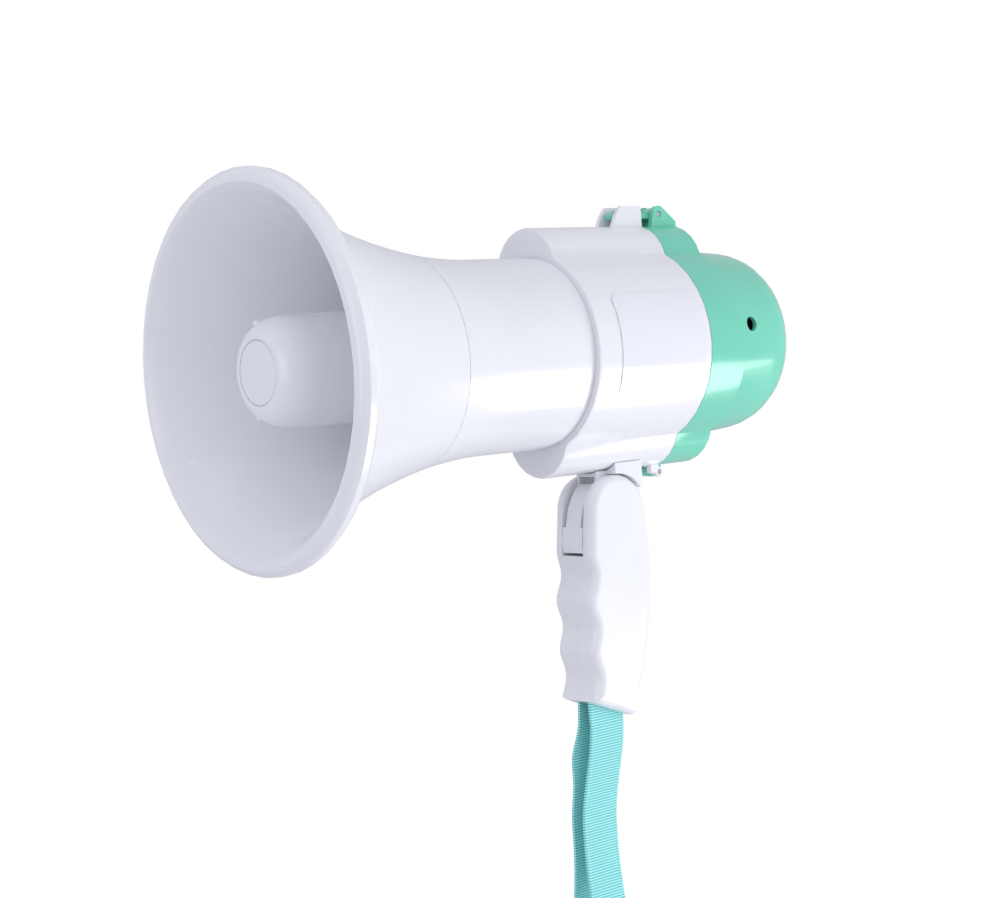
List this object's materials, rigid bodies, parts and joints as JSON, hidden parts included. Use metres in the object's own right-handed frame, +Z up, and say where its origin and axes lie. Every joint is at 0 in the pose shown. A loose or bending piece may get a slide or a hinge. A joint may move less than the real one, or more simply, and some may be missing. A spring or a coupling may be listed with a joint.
{
  "type": "handheld megaphone",
  "caption": "Handheld megaphone with a flared horn, a latched rear cap, a folding pistol grip with a trigger, and a webbing wrist strap.",
  "frame": {"origin": "middle of the pistol grip, below the fold pin, where the hand holds it", "axes": "+Z up, +Y back from the bell's mouth to the rear cap along the horn's axis, +X to the side with the label plate"},
  "size_m": [0.1596, 0.2839, 0.4311],
  "materials": {
    "white_plastic": "glossy white, slightly cool",
    "label_film": "smooth blank film",
    "mint_plastic": "glossy mint green",
    "grey_plastic": "satin grey",
    "black_plastic": "matt black",
    "steel": "plated",
    "brass": "bright",
    "ferrite": "dark sintered",
    "battery_wrap": "printed film over a metal can, blank",
    "circuit_board": "green solder mask",
    "diaphragm_film": "amber film",
    "teal_webbing": "flat woven webbing"
  },
  "bodies": {
    "grip": {"grip_left": "white_plastic", "grip_right": "white_plastic", "grip_screw_1": "steel", "grip_screw_2": "steel", "trigger_pin": "steel", "talk_switch": "black_plastic", "strap_bar": "steel", "wrist_strap": "teal_webbing"},
    "horn": {"bell": "white_plastic", "horn_collar": "white_plastic", "reflector_cup": "white_plastic", "cup_disc": "label_film", "horn_spider": "white_plastic", "throat_tube": "white_plastic", "driver_plate": "grey_plastic", "driver_surround": "grey_plastic", "diaphragm": "diaphragm_film", "voice_coil": "brass", "pole_plate": "steel", "driver_magnet": "ferrite", "driver_yoke": "steel", "main_housing": "white_plastic", "hinge_bracket": "white_plastic", "bracket_screw_1": "steel", "bracket_screw_2": "steel", "fold_pin": "steel", "label_plate": "label_film", "battery_holder": "grey_plastic", "contact_ring_front": "brass", "contact_ring_back": "brass", "battery_cell_1": "battery_wrap", "battery_cell_2": "battery_wrap", "battery_cell_3": "battery_wrap", "battery_cell_4": "battery_wrap", "battery_cell_5": "battery_wrap", "battery_cell_6": "battery_wrap", "battery_cell_7": "battery_wrap", "battery_cell_8": "battery_wrap"},
    "cap": {"rear_cap": "mint_plastic", "cap_hinge_pin": "steel", "latch_pin": "steel", "circuit_board": "circuit_board", "output_chip": "black_plastic", "heat_sink": "steel", "capacitor_1": "black_plastic", "capacitor_2": "black_plastic", "dc_jack": "black_plastic", "mic_grille": "black_plastic", "mic_ring": "black_plastic", "mic_capsule": "steel", "volume_pot": "steel", "mode_switch": "steel"},
    "trigger": {"trigger": "white_plastic"},
    "latch": {"latch_lever": "mint_plastic"},
    "volume": {"volume_knob": "grey_plastic", "volume_shaft": "steel"},
    "mode": {"mode_slider": "black_plastic"}
  },
  "joints": [
    {"name": "handle_fold", "type": "hinge", "parent": "grip", "child": "horn", "pos_m": [0, 0, 0.043], "axis": [1, 0, 0], "range_deg": [0, 75]},
    {"name": "trigger_press", "type": "hinge", "parent": "grip", "child": "trigger", "pos_m": [0, -0.014, 0.0285], "axis": [-1, 0, 0], "range_deg": [0, 5], "stiffness_Nm_per_rad": 0.15, "springref_deg": -5.73},
    {"name": "cap_swing", "type": "hinge", "parent": "horn", "child": "cap", "pos_m": [0, 0.0319, 0.0578], "axis": [-1, 0, 0], "range_deg": [0, 95]},
    {"name": "latch_press", "type": "hinge", "parent": "cap", "child": "latch", "pos_m": [0, 0.0425, 0.1745], "axis": [1, 0, 0], "range_deg": [0, 6], "stiffness_Nm_per_rad": 0.05, "springref_deg": -5.73},
    {"name": "volume_turn", "type": "hinge", "parent": "cap", "child": "volume", "pos_m": [-0.015, 0.0905, 0.1], "axis": [0, 1, 0], "range_deg": [0, 270]},
    {"name": "mode_slide", "type": "slide", "parent": "cap", "child": "mode", "axis": [1, 0, 0], "range_m": [0, 0.0055]}
  ]
}
